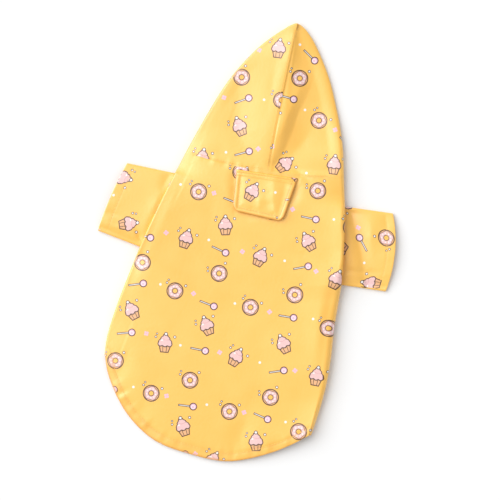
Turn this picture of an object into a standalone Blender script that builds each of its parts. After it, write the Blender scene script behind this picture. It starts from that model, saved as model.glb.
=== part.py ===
"""A hooded raincoat for a small dog, laid flat with its belly down and its back up.

The hood points along +Y, the tail lies toward -Y, and the coat rests on z = 0. Lengths below are
millimetres. Places on the flat are measured from the nape, where the hood's centre seam meets the
neck seam, and heights from the surface that the coat rests on.
"""

import math

import bmesh
import bpy
import numpy as np
from mathutils import Vector
from mathutils.bvhtree import BVHTree

mm = 0.001

nape_at = (5.4, 72.7)
wall = 1.2
flap_wall = 2.2
seam_gap = 0.3
weld = 0.00001
drop_from = 0.1

# The outline of the coat on the flat: (across, along).
left_side = [(-85.2, -1.9), (-91.1, -24.9), (-99.5, -60.0), (-108.8, -106.0), (-114.3, -140.0),
             (-119.4, -180.0), (-120.5, -200.0), (-119.0, -217.4)]
right_side = [(74.7, 10.1), (82.5, -19.8), (90.2, -58.0), (96.2, -95.0), (99.3, -140.0),
              (102.8, -170.0), (104.3, -200.0), (102.8, -230.0), (100.9, -249.0)]
neck_seam = [(-85.2, -1.9), (-60.0, -3.2), (-30.0, -3.8), (-0.8, -1.4), (30.0, 0.2), (55.0, 4.6),
             (74.7, 10.1)]
tail_hem = [(-119.0, -217.4), (-114.6, -230.0), (-102.4, -250.4), (-84.4, -270.8), (-51.4, -289.8),
            (-12.0, -294.6), (27.4, -293.0), (56.6, -281.0), (87.4, -260.9), (100.9, -249.0)]
left_hood_side = [(-85.2, -1.9), (-79.5, 20.0), (-73.4, 40.0), (-66.6, 60.0), (-58.8, 80.0),
                  (-48.6, 100.0), (-35.8, 120.0), (-18.0, 140.0), (-11.2, 146.4), (-5.0, 149.6)]
right_hood_side = [(74.7, 10.1), (72.2, 20.0), (66.6, 40.0), (59.0, 60.0), (50.0, 80.0),
                   (40.0, 100.0), (27.0, 120.0), (10.6, 140.0), (2.6, 146.6), (-5.0, 149.6)]
hood_seam = [(-0.9, 20.0), (-1.8, 50.0), (-3.6, 84.0), (-4.8, 104.0), (-5.0, 141.6)]

# The back panel's rows, from the neck seam to the tail hem, and where the armholes end along it.
rows_to_armhole = 3
rows_of_armhole = 10
rows_to_hem = 12
rows_to_belly_hem = 8
side_samples = 400
neck_bow_power = 2
hem_bow_power = 2
armhole_front = {"left": -24.3, "right": -19.5}
armhole_rear = {"left": -107.8, "right": -96.2}

# The torso's section at each share of the way from the neck seam to the tail hem.
torso_sections = [
    # share, height of the middle, radius of the folded sides
    (0.00, 11.0, 3.5),
    (0.09, 12.8, 3.3),
    (0.25, 13.6, 2.9),
    (0.43, 12.9, 3.2),
    (0.60, 12.4, 3.7),
    (0.75, 11.2, 3.6),
    (0.88, 7.0, 2.8),
    (0.95, 3.6, 2.2),
    (1.00, 1.25, 1.8),
]
dome_power = 2.6
nape_share = 0.53

# The under side of the back panel, between its folded side and the side seam.
side_seam_in = 20.0
armhole_lateral = 12.0
armhole_medial = 14.0
hem_corner_lip = 3.0
lip_ramp = 12.0

# The belly panel, which rises to the side seam at the ends of each armhole.
belly_columns = 17
belly_rise = 12.0
armhole_end_rise = 8.0

# Broad folds pressed into the upper cloth. They fade out toward the seams and the hem.
broad_folds = [
    # middle across, middle along, heading in degrees, half length, half width, depth
    (-88.0, -110.0, 96.0, 73.0, 13.0, 1.2),
    (52.0, -92.0, 128.0, 28.0, 9.0, 1.0),
    (86.0, -165.0, 92.0, 57.0, 9.0, 1.4),
    (-12.0, -205.0, 62.0, 49.0, 16.0, 0.9),
    (36.0, 62.0, 118.0, 38.0, 9.0, 1.8),
    (12.0, 92.0, 98.0, 28.0, 8.0, 1.4),
    (-26.0, 60.0, 70.0, 42.0, 9.0, 1.3),
]
fold_rise = 6.0

# The sleeves: a flattened tube between its front fold and its rear fold.
sleeve_corners = {
    # side: (cuff front, cuff middle, cuff rear)
    "left": ((-139.4, -25.0), (-147.6, -60.0), (-153.0, -97.6)),
    "right": ((130.3, -14.3), (140.9, -52.0), (140.8, -92.2)),
}
sleeve_fold = 1.5
sleeve_clearance = 0.45
sleeve_loft = 6.0
sleeve_rows = 8
sleeve_layer_columns = 14
sleeve_fold_steps = 4
sleeve_arch_power = 3

# The hood.
hood_rows = 20
hood_row_power = 1.75
hood_crown = [
    # share of the seam from the nape, height at the seam
    (0.00, 11.0),
    (0.30, 12.2),
    (0.70, 11.0),
    (0.92, 8.6),
    (1.00, 7.2),
]
hood_fold = 3.5
neck_turn_power = 6

# The face opening, as shares of the way from the throat to the tip, and half its width.
mouth_start = 0.06
mouth_end = 0.84
mouth_half = 30.0

# The leash flap.
flap_top_half = 29.8
flap_low_half = 24.8
flap_top = -4.4
flap_length = 41.4
flap_corner = 7.0
flap_slant = 2.4
flap_columns = 12
flap_rows = 9

fold_steps = 6
lip_columns = 4
top_columns = 18
hood_top_columns = 9
hood_under_columns = 6

colours = {
    # node: (red, green, blue), roughness
    "back_panel": ((0.980, 0.665, 0.165), 0.42),
    "belly_panel": ((0.960, 0.640, 0.160), 0.45),
    "hood_left": ((0.980, 0.680, 0.175), 0.42),
    "hood_right": ((0.975, 0.655, 0.160), 0.42),
    "sleeve_left": ((0.985, 0.700, 0.190), 0.42),
    "sleeve_right": ((0.980, 0.680, 0.180), 0.42),
    "leash_flap": ((0.980, 0.670, 0.170), 0.40),
}


def curve_through(points, level_end=False):
    """A smooth curve through the points, as a function of the share of its length."""
    points = np.array(points, float)
    steps = np.linalg.norm(np.diff(points, axis=0), axis=1)
    knots = np.concatenate([[0.0], np.cumsum(steps)]) / steps.sum()
    slopes = np.gradient(points, knots, axis=0)
    if level_end:
        slopes[-1] = (math.copysign(steps.sum(), slopes[-1][0]), 0.0)

    def at(share):
        k = int(np.clip(np.searchsorted(knots, share, side="right") - 1, 0, len(knots) - 2))
        span = knots[k + 1] - knots[k]
        t = (share - knots[k]) / span
        start = (1 + 2 * t) * (1 - t) ** 2 * points[k] + t * (1 - t) ** 2 * span * slopes[k]
        end = t * t * (3 - 2 * t) * points[k + 1] + t * t * (t - 1) * span * slopes[k + 1]
        return start + end

    return at


def column_of(table, share, column):
    """One column of a table, read at a share between its rows."""
    return float(np.interp(share, [row[0] for row in table], [row[column] for row in table]))


def share_at(side, along):
    """The share of a side's length at which it reaches a place along the coat."""
    curve = curve_through(side)
    shares = np.linspace(0, 1, side_samples)
    reach = np.array([curve(share)[1] for share in shares])
    return float(np.interp(-along, -reach, shares))


def row_shares(side, name):
    """The shares of a side's length at the back panel's rows."""
    front = share_at(side, armhole_front[name])
    rear = share_at(side, armhole_rear[name])
    return np.concatenate([
        np.linspace(0, front, rows_to_armhole + 1),
        np.linspace(front, rear, rows_of_armhole + 1)[1:],
        np.linspace(rear, 1, rows_to_hem + 1)[1:],
    ])


left_curve = curve_through(left_side)
right_curve = curve_through(right_side)
left_rows = row_shares(left_side, "left")
right_rows = row_shares(right_side, "right")
back_rows = len(left_rows)
front_row = rows_to_armhole
rear_row = rows_to_armhole + rows_of_armhole
belly_row = rear_row + rows_to_belly_hem


def dome(share):
    """How far the upper cloth has risen, from its folded side at 1 or -1 to the middle at 0."""
    return 1 - abs(share) ** dome_power


def from_middle(across):
    """The share from the middle, -1 to 1, of a place that is 0 at the left side and 1 at the right."""
    if across < nape_share:
        return across / nape_share - 1
    return (across - nape_share) / (1 - nape_share)


def relief(across, along):
    """The height that the broad folds take from the upper cloth."""
    total = 0.0
    for middle_x, middle_y, heading, half_length, half_width, depth in broad_folds:
        turn = math.radians(heading)
        dx, dy = across - middle_x, along - middle_y
        run = dx * math.cos(turn) + dy * math.sin(turn)
        off = dy * math.cos(turn) - dx * math.sin(turn)
        total += depth * math.exp(-((run / half_length) ** 2) - (off / half_width) ** 2)
    return total


def fold_fade(share):
    """How much of the broad folds is there, at a share of the way between two seams."""
    return min(1.0, fold_rise * share * (1 - share))


def sleeve_top(share):
    """The sleeve's upper surface, at a share of the way from its front fold to its rear fold."""
    low = 2 * sleeve_fold
    return low + (sleeve_loft - low) * (1 - abs(2 * share - 1) ** sleeve_arch_power)


def armhole_share(row):
    return (row - front_row) / rows_of_armhole


def armhole_swell(row):
    """How far the armhole is open at a row, from 0 at its ends to 1 in its middle."""
    share = armhole_share(row)
    return math.sin(math.pi * share) if 0 < share < 1 else 0.0


def lip_height(row):
    """The height of the back panel's under side, which passes over the sleeve."""
    share = armhole_share(row)
    if 0 <= share <= 1:
        return sleeve_top(share) + sleeve_clearance
    end = front_row if share < 0 else rear_row
    off = float(np.linalg.norm(left_curve(left_rows[row]) - left_curve(left_rows[end])))
    return (2 * sleeve_fold + sleeve_clearance) * max(0.0, 1 - off / lip_ramp) ** 2


def lip_width(row):
    """The width of the back panel's under side, from the folded side to its own edge."""
    if row <= belly_row:
        return side_seam_in - armhole_lateral * armhole_swell(row)
    share = (row - belly_row) / (back_rows - 1 - belly_row)
    return side_seam_in + (hem_corner_lip - side_seam_in) * share


def row_frame(row):
    """The left end, the right end, the unit vector across and the share down, for one row."""
    left_share = np.interp(row, range(back_rows), left_rows)
    right_share = np.interp(row, range(back_rows), right_rows)
    left, right = left_curve(left_share), right_curve(right_share)
    return left, right, (right - left) / np.linalg.norm(right - left), (left_share + right_share) / 2


neck_curve = curve_through(neck_seam)
hem_curve = curve_through(tail_hem)


def bow(curve, share):
    """How far a curve has left the straight line between its ends."""
    return curve(share) - (curve(0) + (curve(1) - curve(0)) * share)


def torso_height(across, down, base, fold):
    """The upper cloth's height, without its broad folds."""
    side = base + 2 * fold
    return side + (column_of(torso_sections, down, 1) - side) * dome(from_middle(across))


def back_point(part, step, row):
    """A point of the back panel: its left under side and fold, its top, and the same on the right."""
    left, right, across, down = row_frame(row)
    fold = column_of(torso_sections, down, 2)
    base = lip_height(row)
    width = np.linalg.norm(right - left)
    if part == "top":
        spot = left + across * (fold + step * (width - 2 * fold))
        spot = spot + bow(neck_curve, step) * (1 - down) ** neck_bow_power
        spot = spot + bow(hem_curve, step) * down ** hem_bow_power
        fade = fold_fade(down) * math.sin(math.pi * step)
        return (*spot, torso_height(step, down, base, fold) - relief(*spot) * fade)
    start, inward = (left, across) if part.startswith("left") else (right, -across)
    if part.endswith("fold"):
        angle = (step - 0.5) * math.pi
        reach, height = fold - fold * math.cos(angle), base + fold + fold * math.sin(angle)
    else:
        reach, height = fold + (lip_width(row) - fold) * step, base
    return (*(start + inward * reach), height)


def spread(count, first=0.0, last=1.0):
    return [float(value) for value in np.linspace(first, last, count)]


back_columns = (
    [("left lip", step) for step in spread(lip_columns, 1, 0)]
    + [("left fold", step) for step in spread(fold_steps + 1)[1:]]
    + [("top", step) for step in spread(top_columns + 1)[1:]]
    + [("right fold", step) for step in spread(fold_steps + 1, 1, 0)[1:]]
    + [("right lip", step) for step in spread(lip_columns)[1:]]
)


def cloth_sheet(columns, rows, place):
    """A sheet of columns by rows corners, each put where place(column, row) says."""
    sheet = bmesh.new()
    bmesh.ops.create_grid(sheet, x_segments=columns - 1, y_segments=rows - 1, size=0.5)
    for corner in sheet.verts:
        column = round((corner.co.x + 0.5) * (columns - 1))
        row = round((corner.co.y + 0.5) * (rows - 1))
        x, y, z = place(column, row)
        corner.co = Vector(((x + nape_at[0]) * mm, (y + nape_at[1]) * mm, z * mm))
    return sheet


def clear_scene():
    for obj in list(bpy.data.objects):
        bpy.data.objects.remove(obj)


def new_part(name, sheet, thickness, offset, collection):
    """An object of the sheet, thickened to one side of it."""
    mesh = bpy.data.meshes.new(name)
    sheet.normal_update()
    sheet.to_mesh(mesh)
    sheet.free()
    mesh.shade_smooth()
    obj = bpy.data.objects.new(name, mesh)
    collection.objects.link(obj)
    solidify = obj.modifiers.new("Cloth thickness", "SOLIDIFY")
    solidify.thickness = thickness * mm
    solidify.offset = offset
    solidify.use_even_offset = True
    colour, roughness = colours[name]
    material = bpy.data.materials.new(name + "_cloth")
    material.use_nodes = True
    shader = material.node_tree.nodes["Principled BSDF"]
    shader.inputs["Base Color"].default_value = (*colour, 1)
    shader.inputs["Roughness"].default_value = roughness
    shader.inputs["Metallic"].default_value = 0.0
    material.diffuse_color = (*colour, 1)
    mesh.materials.append(material)
    return obj


def back_sheet():
    """The back panel, from one side's own edge under the coat, over the top, to the other's."""
    def place(column, row):
        row = back_rows - 1 - row
        x, y, z = back_point(*back_columns[column], row)
        return x, y - seam_gap / 2 * (row == 0), z

    return cloth_sheet(len(back_columns), back_rows, place)


def side_seam(side, row):
    """The belly panel's edge at the side seam, or at the armhole's lower edge."""
    left, right, across, down = row_frame(row)
    reach = side_seam_in + seam_gap + armhole_medial * armhole_swell(row)
    share = armhole_share(row)
    height = lip_height(row)
    if 0 < share < 1:
        to_end = min(share, 1 - share) * (armhole_front[side] - armhole_rear[side])
        height = (2 * sleeve_fold + sleeve_clearance) * max(0.0, 1 - to_end / armhole_end_rise)
    if side == "left":
        return (*(left + across * reach), height)
    return (*(right - across * reach), height)


def belly_sheet():
    """The belly panel, flat between its side seams."""
    def place(column, row):
        row = belly_row - row
        left, right = np.array(side_seam("left", row)), np.array(side_seam("right", row))
        share = column / (belly_columns - 1)
        spot = left + (right - left) * share
        to_seam = min(share, 1 - share) * np.linalg.norm(right - left)
        lifted = left[2] if share < 0.5 else right[2]
        height = lifted * max(0.0, 1 - to_seam / belly_rise)
        return spot[0], spot[1] - seam_gap / 2 * (row == 0), height

    return cloth_sheet(belly_columns, belly_row + 1, place)


def hood_sheet(side):
    """One half of the hood, from the centre seam over the top to the fold and the face opening."""
    outline = curve_through(left_hood_side if side == "left" else right_hood_side, level_end=True)
    facing = -1 if side == "left" else 1
    nape = np.array(back_point("top", nape_share, 0)[:2])
    neck_end = np.array(back_point("top", 0.0 if side == "left" else 1.0, 0)[:2])
    seam = curve_through([nape, *hood_seam])
    neck_direction = facing * row_frame(0)[2]
    throat = neck_curve(0) + (neck_curve(1) - neck_curve(0)) * nape_share
    columns = (
        [("top", step) for step in spread(hood_top_columns + 1)]
        + [("fold", step) for step in spread(fold_steps + 1)[1:]]
        + [("under", step) for step in spread(hood_under_columns + 1)[1:]]
    )
    if side == "left":
        columns = columns[::-1]

    def place(column, row):
        share = 1 - (1 - row / hood_rows) ** hood_row_power
        part, step = columns[column]
        top = seam(share)
        top[0] += facing * seam_gap / 2
        edge = outline(share)
        edge[0] += facing * seam_gap / 2 * (share == 1)
        outward = (edge - top) / np.linalg.norm(edge - top)
        outward = outward + (neck_direction - outward) * (1 - share) ** neck_turn_power
        outward = outward / np.linalg.norm(outward)
        turn = edge - outward * hood_fold
        if part == "top":
            across = nape_share + facing * step * (nape_share if side == "left" else 1 - nape_share)
            neck = np.array(back_point("top", across, 0)[:2])
            sag = neck - nape - (neck_end - nape) * step
            spot = top + (turn - top) * step + sag * (1 - share) ** neck_bow_power
            crown = column_of(hood_crown, share, 1)
            height = 2 * hood_fold + (crown - 2 * hood_fold) * dome(step)
            height -= relief(*spot) * fold_fade(share) * math.cos(math.pi / 2 * step)
        elif part == "fold":
            angle = (0.5 - step) * math.pi
            spot = turn + outward * hood_fold * math.cos(angle)
            height = hood_fold + hood_fold * math.sin(angle)
        else:
            mouth = np.clip((share - mouth_start) / (mouth_end - mouth_start), 0, 1)
            end = throat + (seam(1) - throat) * share
            end[0] = top[0] + facing * mouth_half * math.sin(math.pi * mouth)
            spot = turn + (end - turn) * step
            height = 0.0
        return spot[0], spot[1] + seam_gap / 2 * (row == 0), height

    return cloth_sheet(len(columns), hood_rows + 1, place)


def sleeve_sheet(side):
    """A flattened tube from the armhole to the cuff."""
    cuff_front, cuff_middle, cuff_rear = (np.array(point) for point in sleeve_corners[side])
    cuff_bow = cuff_middle - (cuff_front + cuff_rear) / 2
    near = sleeve_fold / (armhole_front[side] - armhole_rear[side])
    ring = (
        [(share, 1.0) for share in spread(sleeve_layer_columns + 1, 1 - near, near)]
        + [(near * (1 - math.sin(angle)), (1 + math.cos(angle)) / 2)
           for angle in spread(sleeve_fold_steps + 1, 0, math.pi)[1:-1]]
        + [(share, 0.0) for share in spread(sleeve_layer_columns + 1, near, 1 - near)]
        + [(1 - near * (1 - math.sin(angle)), (1 - math.cos(angle)) / 2)
           for angle in spread(sleeve_fold_steps + 1, 0, math.pi)[1:-1]]
    )
    ring.append(ring[0])
    if side == "left":
        ring.reverse()

    def place(column, row):
        share, upper = ring[column]
        swell = math.sin(math.pi * share)
        reach = side_seam_in + (1 - upper) * armhole_medial * swell - upper * armhole_lateral * swell
        left, right, across, down = row_frame(front_row + share * rows_of_armhole)
        inner = left + across * reach if side == "left" else right - across * reach
        cuff = cuff_front + (cuff_rear - cuff_front) * share + cuff_bow * 4 * share * (1 - share)
        spot = inner + (cuff - inner) * (1 - row / sleeve_rows)
        return (*spot, upper * sleeve_top(share))

    sheet = cloth_sheet(len(ring), sleeve_rows + 1, place)
    bmesh.ops.remove_doubles(sheet, verts=sheet.verts, dist=weld)
    return sheet


def flap_sheet(under):
    """The leash flap, laid on the cloth below it."""
    tree = BVHTree.FromBMesh(under)

    def place(column, row):
        share = 1 - row / flap_rows
        down = flap_length * share
        half = flap_top_half + (flap_low_half - flap_top_half) * share
        into_corner = max(0.0, flap_corner - (flap_length - down))
        half -= flap_corner - math.sqrt(flap_corner ** 2 - into_corner ** 2)
        x = half * (2 * column / flap_columns - 1)
        y = flap_top - down + flap_slant * x / flap_top_half * (1 - share)
        above = Vector(((x + nape_at[0]) * mm, (y + nape_at[1]) * mm, drop_from))
        found, normal, index, distance = tree.ray_cast(above, Vector((0, 0, -1)))
        raised = found + normal * seam_gap * mm
        return raised.x / mm - nape_at[0], raised.y / mm - nape_at[1], raised.z / mm

    return cloth_sheet(flap_columns + 1, flap_rows + 1, place)


def main():
    clear_scene()
    coat = bpy.data.collections.new("dog_raincoat")
    bpy.context.scene.collection.children.link(coat)
    back = back_sheet()
    flap = flap_sheet(back)
    new_part("back_panel", back, wall, -1, coat)
    new_part("leash_flap", flap, flap_wall, 1, coat)
    new_part("belly_panel", belly_sheet(), wall, 1, coat)
    new_part("hood_left", hood_sheet("left"), wall, -1, coat)
    new_part("hood_right", hood_sheet("right"), wall, -1, coat)
    new_part("sleeve_left", sleeve_sheet("left"), wall, -1, coat)
    new_part("sleeve_right", sleeve_sheet("right"), wall, -1, coat)


main()
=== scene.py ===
import math

import bmesh
import bpy
import numpy as np
from mathutils import Matrix, Vector
from mathutils.bvhtree import BVHTree


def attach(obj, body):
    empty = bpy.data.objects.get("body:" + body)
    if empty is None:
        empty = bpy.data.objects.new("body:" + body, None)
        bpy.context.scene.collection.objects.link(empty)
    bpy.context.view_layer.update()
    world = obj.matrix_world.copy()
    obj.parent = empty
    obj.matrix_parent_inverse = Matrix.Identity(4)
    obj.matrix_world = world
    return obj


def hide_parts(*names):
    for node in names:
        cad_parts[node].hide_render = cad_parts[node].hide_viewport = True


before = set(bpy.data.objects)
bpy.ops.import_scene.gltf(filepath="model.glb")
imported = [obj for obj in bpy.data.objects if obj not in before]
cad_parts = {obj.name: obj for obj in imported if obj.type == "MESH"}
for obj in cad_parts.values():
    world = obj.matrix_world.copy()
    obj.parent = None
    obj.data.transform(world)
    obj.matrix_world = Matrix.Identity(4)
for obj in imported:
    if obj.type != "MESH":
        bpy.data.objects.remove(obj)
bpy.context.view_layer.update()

# A dog raincoat laid flat, belly down. Places on it are millimetres from the nape, x to its right
# and y toward the hood's tip, and heights are from the surface that it lies on.

mm = 0.001
napeAt = (5.4, 72.7)
highUp = 0.1    # metres, above the whole coat
pathPoints = {"crease": 14, "neck": 40, "hem": 60, "edge": 50, "side": 400}

cloth = {
    "thickness": 0.5,
    "turnRows": 9,          # of points round a turned edge, and again along what is turned in
    "hemRadius": 0.6,       # of the turned edge at the tail and the cuffs
    "hemDepth": 8,          # turned in and sewn down
    "grooveDepth": 0.35,    # where the stitches pull it down
    "grooveWidth": 1.1,
}


def smoothThrough(knots, values):  # a smooth curve with these values at these knots
    knots, values = np.array(knots, float), np.array(values, float)
    slopes = np.gradient(values, knots, axis=0)

    def at(share):
        share = np.asarray(share, float)
        k = np.clip(np.searchsorted(knots, share, side="right") - 1, 0, len(knots) - 2)
        span = knots[k + 1] - knots[k]
        t = (share - knots[k]) / span
        if values.ndim > 1:
            t, span = t[..., None], span[..., None]
        start = (1 + 2 * t) * (1 - t) ** 2 * values[k] + t * (1 - t) ** 2 * span * slopes[k]
        end = t * t * (3 - 2 * t) * values[k + 1] + t * t * (t - 1) * span * slopes[k + 1]
        return start + end

    at.slopes = slopes
    return at


def curveThrough(points, levelEnd=False):  # by the share of its length
    points = np.array(points, float)
    long = np.linalg.norm(np.diff(points, axis=0), axis=1).sum()
    at = smoothThrough(lengthsAlong(points) / long, points)
    if levelEnd:
        at.slopes[-1] = (math.copysign(long, at.slopes[-1][0]), 0)
    return at


def spread(first, last, count):
    return np.linspace(first, last, count)


def unit(vectors):
    return vectors / np.linalg.norm(vectors, axis=-1, keepdims=True)


def lengthsAlong(points):  # from the first point, or row of points, to each
    steps = np.linalg.norm(np.diff(points, axis=0), axis=-1)
    return np.concatenate([np.zeros_like(steps[:1]), np.cumsum(steps, axis=0)])


def easeIn(value):  # 0 to 1, flat at both ends
    value = np.clip(value, 0, 1)
    return value * value * (3 - 2 * value)


def fade(value, start, end):  # 0 at the start, 1 at the end, flat at both
    return easeIn((value - start) / (end - start))


def hill(distance, width):  # 1 in its middle, next to nothing at twice its width
    return np.exp(-(distance / width) ** 2)


def edgeLine(away, width):  # 1 up to 0.7 of this width from an edge, and none past 1.7 of it
    return np.clip(1.7 - away / width, 0, 1)


def softNoise(x, y, size, seed):  # from -1 to 1, the same on every run
    cells = 64
    table = np.random.default_rng(seed).uniform(-1, 1, (cells, cells))
    u, v = np.asarray(x) / size, np.asarray(y) / size
    i, j = np.floor(u).astype(int), np.floor(v).astype(int)
    s, t = easeIn(u - i), easeIn(v - j)
    i, j, i2, j2 = i % cells, j % cells, (i + 1) % cells, (j + 1) % cells
    low = table[i, j] * (1 - s) + table[i2, j] * s
    high = table[i, j2] * (1 - s) + table[i2, j2] * s
    return low * (1 - t) + high * t


def unevenly(place, size, seed):
    return softNoise(place, 0 * place, size, seed)


def fromPath(points, x, y):  # distance off the path, positive on its right, and share along it
    points = np.array(points, float)
    steps = np.diff(points, axis=0)
    lengths = np.linalg.norm(steps, axis=1)
    before = lengthsAlong(points)
    best = np.full(np.shape(x), np.inf)
    off, along = np.zeros(np.shape(x)), np.zeros(np.shape(x))
    for k, (step, length) in enumerate(zip(steps, lengths)):
        dx, dy = x - points[k][0], y - points[k][1]
        t = np.clip((dx * step[0] + dy * step[1]) / length ** 2, 0, 1)
        gap = np.hypot(dx - t * step[0], dy - t * step[1])
        side = np.where(dx * step[1] - dy * step[0] > 0, 1, -1)
        nearer = gap < best
        best = np.where(nearer, gap, best)
        off = np.where(nearer, gap * side, off)
        along = np.where(nearer, (before[k] + t * length) / before[-1], along)
    return off, along


def alongCurve(points, count=pathPoints["crease"]):  # the points of a smooth path, close together
    return curveThrough(points)(spread(0, 1, count))


outline = {
    "left": [(-85.2, -1.9), (-91.1, -24.9), (-99.5, -60), (-108.8, -106), (-114.3, -140),
             (-119.4, -180), (-120.5, -200), (-119, -217.4)],
    "right": [(74.7, 10.1), (82.5, -19.8), (90.2, -58), (96.2, -95), (99.3, -140), (102.8, -170),
              (104.3, -200), (102.8, -230), (100.9, -249)],
    "neck": [(-85.2, -1.9), (-60, -3.2), (-30, -3.8), (-0.8, -1.4), (30, 0.2), (55, 4.6), (74.7, 10.1)],
    "hem": [(-119, -217.4), (-114, -230), (-101.6, -249.8), (-83.4, -269.6), (-51, -288.9),
            (-12, -294.6), (27.4, -293), (56.6, -281), (87.4, -260.9), (100.9, -249)],
    "leftHood": [(-85.2, -1.9), (-79, 20), (-73, 40), (-66.6, 60), (-58.8, 80), (-48.6, 100),
                 (-35.8, 120), (-18, 140), (-11.2, 146.4), (-5, 149.6)],
    "rightHood": [(74.7, 10.1), (72.2, 20), (66.6, 40), (59, 60), (50, 80), (40, 100), (27, 120),
                  (10.6, 140), (2.6, 146.6), (-5, 149.6)],
    "hoodSeam": [(-1.2, 20), (-2.4, 50), (-3.6, 76), (-3.8, 96), (-4.3, 112), (-4.5, 128), (-5, 141.6)],
}

body = {
    "rowsToArmhole": 3,
    "rowsOfArmhole": 10,
    "rowsToHem": 12,
    "rowsToBellyHem": 8,
    "armholeFront": {"left": -24.3, "right": -19.5},
    "armholeRear": {"left": -107.8, "right": -96.2},
    "sectionShare": [0, 0.09, 0.25, 0.43, 0.60, 0.75, 0.88, 0.95, 1],
    "sectionHeight": [11, 12.3, 12.2, 10.4, 9.6, 8.8, 6.2, 3.6, 1.25],
    "sectionFold": [3.5, 3.3, 2.9, 3.2, 3.7, 3.6, 2.8, 2.2, 1.8],
    "domePower": 5,
    "sagMiddle": -12,       # the lowest line between the raised sides
    "sagReach": 85,
    "sagHeight": (-0.3, 2.1),  # on the left and on the right
    "sagFrom": (4, -40),    # where it starts and where it is whole, along the coat
    "foldReach": {          # of the rolled sides, against their height
        "left": ([0, 1], [0.35, 0.35]),
        "right": ([0, 0.12, 0.20, 0.25, 0.35, 0.42, 0.50, 0.70, 0.85, 1],
                  [1.2, 1.2, 1.5, 0.9, 0.8, 1.4, 1.8, 1.7, 1.5, 1.3]),
    },
    "foldRise": {
        "left": ([0, 0.30, 0.40, 0.50, 0.62, 0.75, 1], [0, 0.1, 0.7, 1.2, 1, 0.5, 0.1]),
        "right": ([0, 0.05, 0.12, 0.30, 0.55, 0.85, 1], [1.6, 1.4, 0.9, 0.1, 0.6, 0.5, 0.1]),
    },
    "hemRise": ([0, 0.3, 0.6, 0.85, 1], [0.3, 0.8, 2, 3, 3.6]),
    "hemRiseFrom": (0.84, 1),
    "length": 290,
    "sideCalm": 12,         # how far from a rolled side the creases reach their whole height
    "lowCalm": (1.2, 5),    # the height at which they start, and over how much more they grow
    "hemCalm": (4, 3),      # the same as sideCalm for the hem's gathers, from its sides and its edge
    "napeShare": 0.53,
    "sideSeamIn": 20,
    "bellySeamIn": 0.1,     # the belly's edge lies this far inside the back's
    "armholeLateral": 12,
    "armholeMedial": 14,
    "hemCornerLip": 3,
    "lipRamp": 12,
    "bellyRise": 12,
    "armholeEndRise": 8,
    "topCells": 146,
    "foldCells": 8,
    "lipCells": 8,
    "rowCells": 190,
    "bellyCells": (90, 90),
}

sleeves = {
    "left": ((-139.4, -25), (-147.6, -60), (-153, -97.6)),  # cuff front, middle, rear
    "right": ((130.3, -14.3), (140.9, -52), (140.8, -92.2)),
    "fold": 1.5,
    "clearance": 0.45,
    "loft": 6,
    "archPower": 3,
    "layerCells": 66,
    "foldCells": 6,
    "rowCells": 56,
    "around": 80,           # about how long each armhole's edge is
    "ripple": (0.3, 24, 31),  # its height, size and seed
    "gathersAt": 0.8,       # of the hem's depth in from the cuff
    "gathers": (80, 6, 6.5, 0.3, 33),
    "cuffGroove": 0.12,
    "edgeCalm": 6,
    "bodyCalm": (-4, 6),    # the creases fade where the sleeve goes under the back
}

leftCurve = curveThrough(outline["left"])
rightCurve = curveThrough(outline["right"])
neckCurve = curveThrough(outline["neck"])
hemCurve = curveThrough(outline["hem"])


def shareAt(curve, along):  # where a side reaches a place along the coat
    shares = spread(0, 1, pathPoints["side"])
    return float(np.interp(-along, -curve(shares)[:, 1], shares))


def rowShares(curve, side):
    front = shareAt(curve, body["armholeFront"][side])
    rear = shareAt(curve, body["armholeRear"][side])
    return np.concatenate([
        spread(0, front, body["rowsToArmhole"] + 1),
        spread(front, rear, body["rowsOfArmhole"] + 1)[1:],
        spread(rear, 1, body["rowsToHem"] + 1)[1:],
    ])


leftRows = rowShares(leftCurve, "left")
rightRows = rowShares(rightCurve, "right")
lastRow = len(leftRows) - 1
frontRow = body["rowsToArmhole"]
rearRow = frontRow + body["rowsOfArmhole"]
bellyRow = rearRow + body["rowsToBellyHem"]
sectionHeight = smoothThrough(body["sectionShare"], body["sectionHeight"])
sectionFold = smoothThrough(body["sectionShare"], body["sectionFold"])


def rowFrame(row):  # both ends, the direction across and the share down the coat
    numbers = np.arange(lastRow + 1)
    leftShare, rightShare = np.interp(row, numbers, leftRows), np.interp(row, numbers, rightRows)
    left, right = leftCurve(leftShare), rightCurve(rightShare)
    return left, right, unit(right - left), (leftShare + rightShare) / 2


def inFrom(side, row, reach):  # places so far in from one side's outline
    left, right, across, _ = rowFrame(row)
    start, inward = (left, across) if side == "left" else (right, -across)
    return start + inward * reach[..., None]


def bow(curve, share):
    return curve(share) - (curve(0) + (curve(1) - curve(0)) * np.asarray(share)[..., None])


def dome(share):
    return 1 - np.abs(share) ** body["domePower"]


def fromMiddle(across):
    nape = body["napeShare"]
    return np.where(across < nape, across / nape - 1, (across - nape) / (1 - nape))


def sleeveTop(share):
    low = 2 * sleeves["fold"]
    arch = 1 - np.abs(2 * np.clip(share, 0, 1) - 1) ** sleeves["archPower"]
    return low + (sleeves["loft"] - low) * arch


def armholeShare(row):
    return (row - frontRow) / body["rowsOfArmhole"]


def armholeSwell(row):
    return np.sin(math.pi * np.clip(armholeShare(row), 0, 1))


def lipHeight(row):  # of the back panel's under side, which passes over the sleeve
    share = armholeShare(row)
    end = np.where(share < 0, frontRow, rearRow)
    numbers = np.arange(lastRow + 1)
    here, there = (leftCurve(np.interp(at, numbers, leftRows)) for at in (row, end))
    off = np.linalg.norm(here - there, axis=-1)
    beside = (2 * sleeves["fold"] + sleeves["clearance"]) * np.clip(1 - off / body["lipRamp"], 0, 1) ** 2
    return np.where((share >= 0) & (share <= 1), sleeveTop(share) + sleeves["clearance"], beside)


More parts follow.
